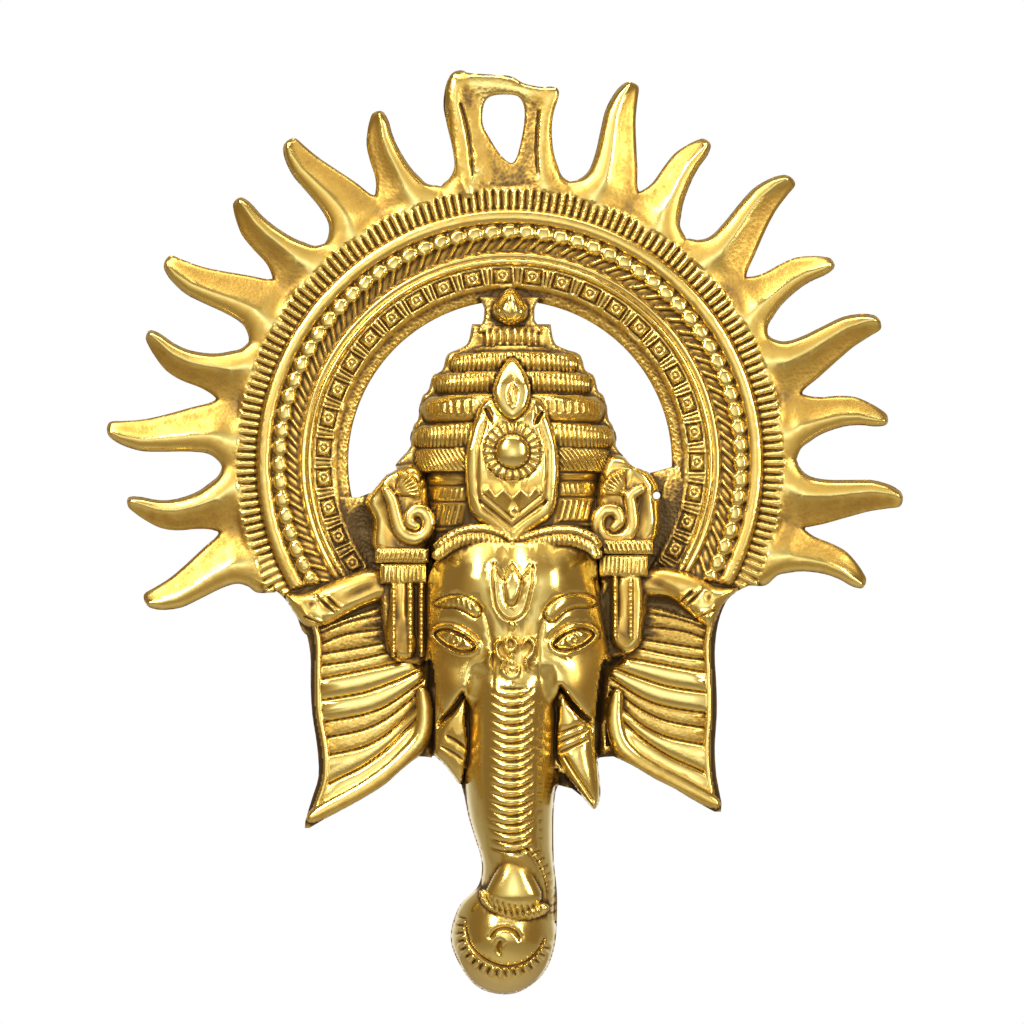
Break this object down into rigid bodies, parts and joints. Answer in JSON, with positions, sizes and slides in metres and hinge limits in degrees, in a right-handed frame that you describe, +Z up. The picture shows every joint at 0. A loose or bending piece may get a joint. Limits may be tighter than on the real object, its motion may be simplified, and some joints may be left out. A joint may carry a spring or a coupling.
{
  "type": "wall hanging",
  "caption": "Gold-coloured cast wall hanging: elephant-headed Ganesha mask with tiered crown and ribbed ears in a moulded ring with flame rays and a hanging loop, hollow behind.",
  "frame": {"origin": "top inside edge of the hanging eye, on the wall plane, where the nail bears", "axes": "+Z up the hanging, +Y into the wall it lies against, so the face looks along -Y; +X to the right as seen from the front"},
  "size_m": [0.1929, 0.0274, 0.2223],
  "materials": {
    "antique_gold": "gold-plated cast alloy, polished on the high parts, with a brown antique wash in the recesses"
  },
  "bodies": {
    "root": {"ganesha_casting": "antique_gold"}
  },
  "joints": []
}
